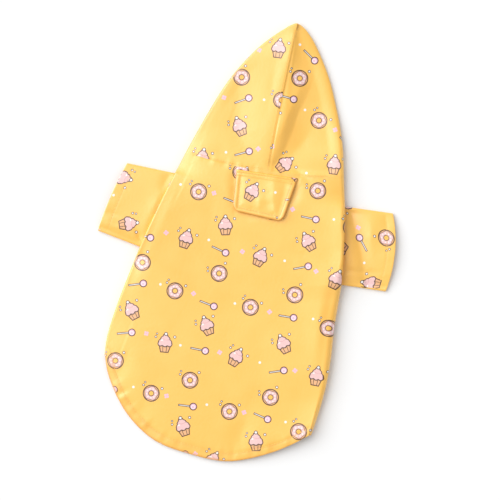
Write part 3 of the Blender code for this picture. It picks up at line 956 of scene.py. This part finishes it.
stitching = {
    "every": 3.2,
    "long": 2.3,
    "thick": 0.45,
    "segments": 6,
    "sunk": 0.08,           # how deep a stitch lies in the cloth
    "colour": (0.93, 0.60, 0.16),
    "hemPart": (0.012, 0.988, 90),  # from and to which share of its line, and that line's points
    "neckPart": (0.03, 0.97, 60),
    "cuffPart": (0.05, 0.95, 24),
    "crownPoints": 60,
    "crownPart": slice(3, -2),  # the points that have stitches
    "besideNeck": 2,
    "besideCrown": 2.4,
    "flapRows": [(1.6, 1.5), (4.4, 4.5)],  # down from its top edge, and in from its sides
    "flapFrom": 2,
    "flapPoints": (12, 6),  # of its stitches' way, down a side and round a corner
}


def beside(path, away):  # the path moved sideways, to its left where away is positive
    step = unit(np.gradient(path, axis=0))
    return path + np.stack([-step[:, 1], step[:, 0]], axis=1) * away


def sew(name, cloths, paths, material):
    evaluated = bpy.context.evaluated_depsgraph_get()
    layers = [BVHTree.FromObject(cloth, evaluated) for cloth in cloths]

    def onCloth(spot):
        met = [straightDown(layer, *spot) for layer in layers]
        met = [place for place in met if place is not None]
        return max(met, key=lambda place: place.z) if met else None

    stitches, count = bmesh.new(), stitching["segments"]
    for path in paths:
        path = np.array(path, float)
        reached = lengthsAlong(path)
        for middle in np.arange(stitching["every"] / 2, reached[-1], stitching["every"]):
            ends = middle - stitching["long"] / 2, middle + stitching["long"] / 2
            first, last = (onCloth([np.interp(end, reached, path[:, axis]) for axis in (0, 1)])
                           for end in ends)
            if first is None or last is None or abs(first.z - last.z) > stitching["long"] * mm:
                continue
            way = last - first
            size = Vector((stitching["thick"] / 2 * mm, stitching["thick"] / 2 * mm, way.length / 2))
            lifted = Vector((0, 0, (stitching["thick"] / 2 - stitching["sunk"]) * mm))
            place = Matrix.LocRotScale((first + last) / 2 + lifted, way.to_track_quat("Z", "Y"), size)
            bmesh.ops.create_uvsphere(stitches, u_segments=count, v_segments=count, radius=1, matrix=place)
    mesh = newMesh(name, stitches)
    mesh.shade_smooth()
    mesh.materials.append(material)
    piece = newPiece(name, mesh)
    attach(piece, "root")
    print("sewed", name, len(mesh.polygons), "faces")
    return piece


def flapStitchPath():  # down one side, round the bottom and up the other
    inside = flap["stitchIn"]
    corner = flap["corner"] - inside
    straight = flap["length"] - flap["corner"]
    onSide, onCorner = stitching["flapPoints"]
    down = np.concatenate([spread(stitching["flapFrom"], straight, onSide),
                           straight + corner * np.sin(spread(0, math.pi / 2, onCorner))[1:]])
    half = flap["topHalf"] + (flap["lowHalf"] - flap["topHalf"]) * down / flap["length"] - inside
    turning = np.clip(down - straight, 0, corner)
    half = half - corner + np.sqrt(corner ** 2 - turning ** 2)
    x = np.concatenate([-half, half[::-1]]) + flap["shift"]
    down = np.concatenate([down, down[::-1]])
    y = flap["top"] - down + flap["slant"] * x / flap["topHalf"] * (1 - down / flap["length"])
    return np.stack([x, y], axis=1)


def worksOut(operation, swapped=False):
    def sums(self, other):
        return self.graph.maths(operation, *((other, self) if swapped else (self, other)))

    return sums


class Value:  # a socket that sums work on
    def __init__(self, graph, socket):
        self.graph, self.socket = graph, socket

    def __abs__(self):
        return self.graph.maths("ABSOLUTE", self)

    __add__, __radd__ = worksOut("ADD"), worksOut("ADD", True)
    __sub__, __rsub__ = worksOut("SUBTRACT"), worksOut("SUBTRACT", True)
    __mul__, __rmul__ = worksOut("MULTIPLY"), worksOut("MULTIPLY", True)
    __truediv__, __rtruediv__ = worksOut("DIVIDE"), worksOut("DIVIDE", True)


class Graph:  # one material's nodes
    def __init__(self, name):
        self.material = bpy.data.materials.new(name)
        self.material.use_nodes = True
        self.nodes, self.links = self.material.node_tree.nodes, self.material.node_tree.links

    def look(self, inputs):
        for name, given in inputs.items():
            self.feed(self.nodes["Principled BSDF"].inputs[name], given)
        return self.material

    def node(self, kind, settings=None, inputs=None):
        made = self.nodes.new(kind)
        for name, setting in (settings or {}).items():
            setattr(made, name, setting)
        for name, given in (inputs or {}).items():
            self.feed(made.inputs[name], given)
        return made

    def feed(self, socket, given):
        given = given.socket if isinstance(given, Value) else given
        if isinstance(given, bpy.types.NodeSocket):
            self.links.new(given, socket)
        else:
            socket.default_value = given

    def maths(self, operation, *given, clamp=False):
        made = self.node("ShaderNodeMath", {"operation": operation, "use_clamp": clamp},
                         dict(enumerate(given)))
        return Value(self, made.outputs[0])

    def least(self, first, *others):
        for other in others:
            first = self.maths("MINIMUM", first, other)
        return first

    def most(self, first, *others):
        for other in others:
            first = self.maths("MAXIMUM", first, other)
        return first

    def place(self):  # on the cut cloth, in millimetres
        pattern = self.node("ShaderNodeUVMap", {"uv_map": "pattern"}).outputs[0]
        return self.vector("MULTIPLY", pattern, (1 / mm, 1 / mm, 0))

    def noise(self, place, inputs):
        made = self.node("ShaderNodeTexNoise", {"noise_dimensions": "2D"}, {"Vector": place, **inputs})
        return Value(self, made.outputs[0])

    def vector(self, operation, *given):
        made = self.node("ShaderNodeVectorMath", {"operation": operation}, dict(enumerate(given)))
        return made.outputs[1 if operation in ("DISTANCE", "LENGTH") else 0]

    def apart(self, vector):
        made = self.node("ShaderNodeSeparateXYZ", inputs={0: vector})
        return Value(self, made.outputs[0]), Value(self, made.outputs[1])

    def together(self, x, y):
        return self.node("ShaderNodeCombineXYZ", inputs={0: x, 1: y}).outputs[0]

    def mixed(self, share, first, second, blend="MIX"):
        made = self.node("ShaderNodeMix", {"data_type": "RGBA", "blend_type": blend},
                         {0: share, 6: first, 7: second})
        return made.outputs[2]

    def disc(self, spot, x, y, radius, squeeze=(1, 1)):  # distance to a round shape's edge
        if squeeze != (1, 1):
            spot = self.vector("MULTIPLY", spot, (*squeeze, 0))
        there = (x * squeeze[0], y * squeeze[1], 0)
        return Value(self, self.vector("DISTANCE", spot, there)) - radius

    def bar(self, x, y, halfWidth, halfHeight):  # distance to a rectangle's edge, at least as far
        return self.most(abs(x) - halfWidth, abs(y) - halfHeight)

    def inside(self, distance, edge=0):
        softness = printing["softness"]
        return self.maths("MULTIPLY_ADD", distance, -1 / softness, 0.5 + edge / softness, clamp=True)


# The print: sweets of its own design, in rows that step by half a repeat from column to column.
printing = {
    "ground": (1, 0.545, 0.054),
    "shade": (1, 0.525, 0.045),
    "line": (0.095, 0.024, 0.004),
    # the deep orange that painted shade darkens the print toward
    "rim": (0.76, 0.31, 0.006),
    "pink": (0.85, 0.52, 0.5),
    "rose": (0.64, 0.26, 0.28),
    "peach": (0.85, 0.43, 0.17),
    "cream": (0.85, 0.83, 0.8),
    "lilac": (0.85, 0.48, 0.62),
    "lineHalf": 0.5,
    "thinHalf": 0.36,
    "softness": 0.35,
    "stray": 7,             # how far a motif may lie off its cell's middle
    # each kind's cell, in mm, its turn (its own, by chance and by column) and the seed of its chance
    "cakes": {"cell": (39, 52), "shift": (7, 11), "turn": (6, 30, -34), "seed": 5},
    "lollipops": {"cell": (78, 52), "shift": (-12.5, 11), "turn": (84, 44, 0), "seed": 9, "drop": 0},
    "flowers": {"cell": (39, 104), "shift": (26.5, 34), "turn": (20, 60, 20), "seed": 13},
    "dots": {"cell": (39, 104), "shift": (26.5, 86), "turn": (0, 10, 0), "seed": 21},
    # degrees that a panel's print is turned by
    "turns": {"leftHoodCloth": -14, "rightHoodCloth": 21, "leftSleeveCloth": 8, "rightSleeveCloth": -20},
}


def motifSpot(graph, x, y, cell, shift, turn, seed, drop=0.5):
    # millimetres from the middle of the nearest motif, moved and turned a little at random
    width, height = cell
    across = (x + shift[0]) / width
    column = graph.maths("FLOOR", across)
    odd = graph.maths("FLOORED_MODULO", column, 2)
    along = (y + shift[1]) / height + odd * drop
    row = graph.maths("FLOOR", along)
    kind = graph.maths("FLOORED_MODULO", column + row, 2)
    spot = graph.together((across - column - 0.5) * width, (along - row - 0.5) * height)
    dice = graph.node("ShaderNodeTexWhiteNoise", {"noise_dimensions": "2D"},
                      {"Vector": graph.together(column + seed, row)})
    far = printing["stray"]
    stray = graph.vector("MULTIPLY_ADD", dice.outputs["Color"], (far, far, 0), (far / -2, far / -2, 0))
    angle = (Value(graph, dice.outputs["Value"]) - 0.5) * math.radians(turn[1])
    angle = angle + math.radians(turn[0]) + odd * math.radians(turn[2])
    spun = graph.node("ShaderNodeVectorRotate", {"rotation_type": "Z_AXIS"},
                      {"Vector": graph.vector("ADD", spot, stray), "Angle": angle}).outputs[0]
    return spun, kind


def ink(name):
    return (*printing[name], 1)


def inked(graph, colour, distance, fill, lineHalf=printing["lineHalf"]):
    # a filled shape with a line round it
    colour = graph.mixed(graph.inside(distance, lineHalf), colour, ink("line"))
    return graph.mixed(graph.inside(distance, -lineHalf), colour, ink(fill))


def flat(graph, colour, distance, fill):
    return graph.mixed(graph.inside(distance), colour, ink(fill))


# The motifs' sizes are millimetres from each one's middle: for a disc its place, its radius and,
# where it isn't round, how much it is squeezed.
cupcake = {
    "cup": (4.6, 3.9, 0.3, 6.3),  # its middle's depth, half its height, its flare, half its width
    "pleat": (0.09, 2.35, 0.3),  # its lean, how far out it is, and half its width
    "pleatHalf": (4.7, 3.2),
    "puffs": [(0, 1.6, 6.6, (1, 1.75)), (4.5, -0.2, 2.5), (0, -0.5, 2.6), (0, 4.8, 4.6, (1, 1.5)),
              (0, 7.2, 2.5)],
    "shine": (-3.4, 3.4, 1.2, (1, 1.6)),
    "curl": (1, 5.9, 3.6, (1, 1.6)),
    "curlHalf": 0.22,
    "curlBelow": 4.9,
    "cherry": (0.3, 9.8, 1.6),
}


def drawCupcake(graph, colour, spot):
    x, y = graph.apart(spot)
    side = abs(x)
    mirrored = graph.together(side, y)
    low, tall, flare, wide = cupcake["cup"]
    cup = graph.most(abs(y + low) - tall, side - (y * flare + wide))
    colour = inked(graph, colour, cup, "peach")
    lean, out, wide = cupcake["pleat"]
    low, tall = cupcake["pleatHalf"]
    pleat = graph.most(abs(side - (y * lean + out)) - wide, abs(y + low) - tall)
    colour = flat(graph, colour, pleat, "line")
    cream = graph.least(*(graph.disc(mirrored, *puff) for puff in cupcake["puffs"]))
    colour = inked(graph, colour, cream, "pink")
    colour = flat(graph, colour, graph.disc(spot, *cupcake["shine"]), "cream")
    curl = abs(graph.disc(spot, *cupcake["curl"])) - cupcake["curlHalf"]
    colour = flat(graph, colour, graph.most(curl, y - cupcake["curlBelow"]), "rose")
    return inked(graph, colour, graph.disc(spot, *cupcake["cherry"]), "cream", printing["thinHalf"])


doughnut = {
    "radius": 8,
    "icing": 6.7,
    "waves": 5,
    "waveHeight": 0.45,
    "icingLineHalf": 0.25,
    "beads": 9,
    "beadsAt": 4.6,
    "bead": (0, 0, 0.62, (1, 0.75)),
    "hole": 2.6,
}


def drawDoughnut(graph, colour, spot, ground):
    x, y = graph.apart(spot)
    away = Value(graph, graph.vector("LENGTH", spot))
    around = graph.maths("ARCTAN2", y, x)
    colour = inked(graph, colour, away - doughnut["radius"], "peach")
    wave = graph.maths("SINE", around * doughnut["waves"]) * doughnut["waveHeight"]
    colour = inked(graph, colour, away - wave - doughnut["icing"], "pink", doughnut["icingLineHalf"])
    share = around * (doughnut["beads"] / (2 * math.pi))
    share = share - graph.maths("ROUND", share)
    apart = 2 * math.pi / doughnut["beads"] * doughnut["beadsAt"]
    bead = graph.together(away - doughnut["beadsAt"], share * apart)
    colour = flat(graph, colour, graph.disc(bead, *doughnut["bead"]), "cream")
    hole, half = away - doughnut["hole"], printing["thinHalf"]
    colour = graph.mixed(graph.inside(hole, half), colour, ink("line"))
    return graph.mixed(graph.inside(hole, -half), colour, ground)


lollipop = {
    "shift": (0, -1.5, 0),
    "stick": (4.2, 0.7, 6.2),  # its middle's depth, half its width and half its height
    "sweet": (0, 4.4, 3.4),
    "swirl": (0.5, 4.2, 1.7),
    "swirlHalf": 0.3,
}


def drawLollipop(graph, colour, spot):
    x, y = graph.apart(spot)
    low, wide, tall = lollipop["stick"]
    colour = inked(graph, colour, graph.bar(x, y + low, wide, tall), "cream", printing["thinHalf"])
    colour = inked(graph, colour, graph.disc(spot, *lollipop["sweet"]), "lilac")
    swirl = abs(graph.disc(spot, *lollipop["swirl"])) - lollipop["swirlHalf"]
    return flat(graph, colour, swirl, "cream")


sprinkles = {
    "balls": [(9.3, 7.4, 1.25), (-9.6, 6.2, 1.05), (-8.6, 9.4, 0.85)],
    "ballLineHalf": 0.3,
    "petal": (1.05, 1.05, 1.15),
    "dot": (2, 1, 1.3),
}


def drawPrint(graph, place, ground):
    x, y = graph.apart(place)
    spot, kind = motifSpot(graph, x, y, **printing["cakes"])
    cake = drawCupcake(graph, ground, spot)
    colour = graph.mixed(kind, cake, drawDoughnut(graph, ground, spot, ground))
    for ball in sprinkles["balls"]:
        colour = inked(graph, colour, graph.disc(spot, *ball), "cream", sprinkles["ballLineHalf"])
    spot, _ = motifSpot(graph, x, y, **printing["lollipops"])
    colour = drawLollipop(graph, colour, graph.vector("ADD", spot, lollipop["shift"]))
    spot, _ = motifSpot(graph, x, y, **printing["flowers"])
    petals = graph.together(*(abs(part) for part in graph.apart(spot)))
    colour = flat(graph, colour, graph.disc(petals, *sprinkles["petal"]), "lilac")
    spot, _ = motifSpot(graph, x, y, **printing["dots"])
    return flat(graph, colour, graph.disc(spot, *sprinkles["dot"]), "cream")


finish = {
    "clouds": {"Scale": 0.035, "Detail": 2, "Roughness": 0.5},
    "cloudsFrom": 0.35,
    "cloudsGain": 1.6,
    "roughness": 0.43,
    "roughnessSwing": 0.12,
    "weave": 7.4,           # radians a millimetre
    "weaveHeight": 0.1,
    "fine": {"Scale": 0.35, "Detail": 2},
    "bump": {"Strength": 0.35, "Distance": 0.00025},
    "coating": {"Specular IOR Level": 1, "IOR": 1.8},
    "reverse": (0.86, 0.64, 0.26),
    "reverseShade": 0.93,
    "reverseClouds": {"Scale": 0.05, "Detail": 2},
    "reverseRoughness": 0.6,
    "threadRoughness": 0.5,
}


def printedCloth(name, paintedShade=False):
    graph = Graph(name)
    place = graph.place()
    cloudy = graph.noise(place, finish["clouds"])
    ground = graph.mixed((cloudy - finish["cloudsFrom"]) * finish["cloudsGain"], ink("shade"), ink("ground"))
    colour = drawPrint(graph, place, ground)
    # painted shade, toward the deep orange, where the mesh's mark asks for it
    if paintedShade:
        mark = Value(graph, graph.node("ShaderNodeAttribute", {"attribute_name": "paintedShade"}).outputs["Fac"])
        colour = graph.mixed(mark, colour, ink("rim"))
    x, y = graph.apart(place)
    weave = graph.maths("SINE", (x + y) * finish["weave"]) * graph.maths("SINE", (x - y) * finish["weave"])
    height = weave * finish["weaveHeight"] + graph.noise(place, finish["fine"])
    bump = graph.node("ShaderNodeBump", inputs={**finish["bump"], "Height": height})
    roughness = cloudy * finish["roughnessSwing"] + finish["roughness"]
    return graph.look({"Base Color": colour, "Roughness": roughness, "Normal": bump.outputs[0],
                       **finish["coating"]})


def plainCloth(name):
    graph = Graph(name)
    clouds = graph.noise(graph.place(), finish["reverseClouds"])
    colour = finish["reverse"]
    shade = [channel * finish["reverseShade"] for channel in colour]
    return graph.look({"Base Color": graph.mixed(clouds, (*shade, 1), (*colour, 1)),
                       "Roughness": finish["reverseRoughness"]})


studio = {
    "fill": 0.74,           # light from all round, too soft to show in the gloss
    "key": 0.62,            # light on the floor from the big soft lamp
    "keyWay": (-0.93, 0.3, 0.8),
    "keySpread": 62,        # degrees that the lamp takes up in the sky
    "floor": {"Base Color": (0.76, 0.76, 0.76, 1), "Roughness": 0.9, "Specular IOR Level": 0},
    "floorSize": 4,
    "floorAt": (0, 0, -0.0002),
    "lens": 120,
    "sensor": 36,
    "viewWidth": 0.5,       # metres that the camera takes in at the coat's height
    "viewMiddle": (0.0049, -0.0095, 0.006),
    "viewTurn": 13,
}


def makeStage():
    grid = bmesh.new()
    bmesh.ops.create_grid(grid, x_segments=1, y_segments=1, size=studio["floorSize"])
    bmesh.ops.translate(grid, verts=grid.verts, vec=studio["floorAt"])
    floor = newPiece("floor", newMesh("floor", grid))
    floor.data.materials.append(Graph("paleFloor").look(studio["floor"]))
    world = bpy.data.worlds.new("studio")
    bpy.context.scene.world = world
    world.use_nodes = True
    sky = world.node_tree.nodes["Background"].inputs
    sky["Color"].default_value = (1, 1, 1, 1)
    sky["Strength"].default_value = studio["fill"]
    world.cycles_visibility.glossy = False
    way = Vector(studio["keyWay"]).normalized()
    key = bpy.data.lights.new("key", "SUN")
    key.angle = math.radians(studio["keySpread"])
    key.energy = studio["key"] * math.pi / way.z
    newPiece("key", key).rotation_euler = way.to_track_quat("Z", "Y").to_euler()
    lens = bpy.data.cameras.new("camera")
    lens.lens, lens.sensor_width = studio["lens"], studio["sensor"]
    eye = newPiece("camera", lens)
    away = studio["viewWidth"] * studio["lens"] / lens.sensor_width
    eye.location = Vector(studio["viewMiddle"]) + Vector((0, 0, away))
    eye.rotation_euler = (0, 0, math.radians(studio["viewTurn"]))
    bpy.context.scene.camera = eye
    bpy.context.scene.view_settings.view_transform = "Standard"
    print("set up the floor, the light and the camera")


outer = printedCloth("printedCloth")
paintedShadeLook = printedCloth("printedClothWithPaintedShade", True)
inner = plainCloth("clothReverse")
thread = Graph("thread").look({"Base Color": (*stitching["colour"], 1),
                               "Roughness": finish["threadRoughness"]})
print("mixed the looks of the cloth and the thread")

made = {}
points, prints = backTable()
# painted shade along the hem, the left edge and the neck seam
paintedShade = np.maximum(hemShade(points), sideShade(points))
made["back"] = makeSheet("backCloth", points, prints, [paintedShadeLook, inner], paintedShade=paintedShade, seamRow=-1)
made["belly"] = makeSheet("bellyCloth", *bellyTable(), [outer, inner])
for side in ("left", "right"):
    points, prints = hoodTable(side)
    made[side + "Hood"] = makeSheet(side + "HoodCloth", points, prints, [paintedShadeLook, inner],
                                    paintedShade=sideShade(points), seamRow=0)
    made[side + "Sleeve"] = makeSheet(side + "SleeveCloth", *sleeveTable(side), [outer, inner], closed=True)
# the flap takes painted shade along its edge and beside its stitches
points, prints, paintedShade = flapTable(made["back"])
made["flap"] = makeSheet("leashFlap", points, prints, [paintedShadeLook], flap["thickness"], paintedShade=paintedShade)

nodes = {"back": "back_panel", "belly": "belly_panel", "leftHood": "hood_left", "rightHood": "hood_right",
         "leftSleeve": "sleeve_left", "rightSleeve": "sleeve_right", "flap": "leash_flap"}
for name, node in nodes.items():
    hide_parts(node)

hemLine = beside(hemCurve(spread(*stitching["hemPart"])), cloth["hemDepth"])
hemStitches = sew("hemStitches", [made["back"]], [hemLine], thread)
neckLine = beside(neckCurve(spread(*stitching["neckPart"])), stitching["besideNeck"])
crownLine = alongCurve(seamPath, stitching["crownPoints"])[stitching["crownPart"]]
crownLine = beside(crownLine, stitching["besideCrown"])
joinedCloths = [made["back"], made["leftHood"], made["rightHood"]]
seamStitches = sew("seamStitches", joinedCloths, [neckLine, crownLine], thread)
flapLines = [flapStitchPath()]
for down, inside in stitching["flapRows"]:
    half = flap["topHalf"] - inside
    flapLines.append([(flap["shift"] + facing * half, flap["top"] - down + facing * flap["slant"])
                      for facing in (-1, 1)])
flapStitches = sew("flapStitches", [made["flap"]], flapLines, thread)
for side in ("left", "right"):
    inward = cloth["hemDepth"] if side == "left" else -cloth["hemDepth"]
    cuff = beside(cuffLine(side, spread(*stitching["cuffPart"])), inward)
    sew(side + "CuffStitches", [made[side + "Sleeve"]], [cuff], thread)

makeStage()
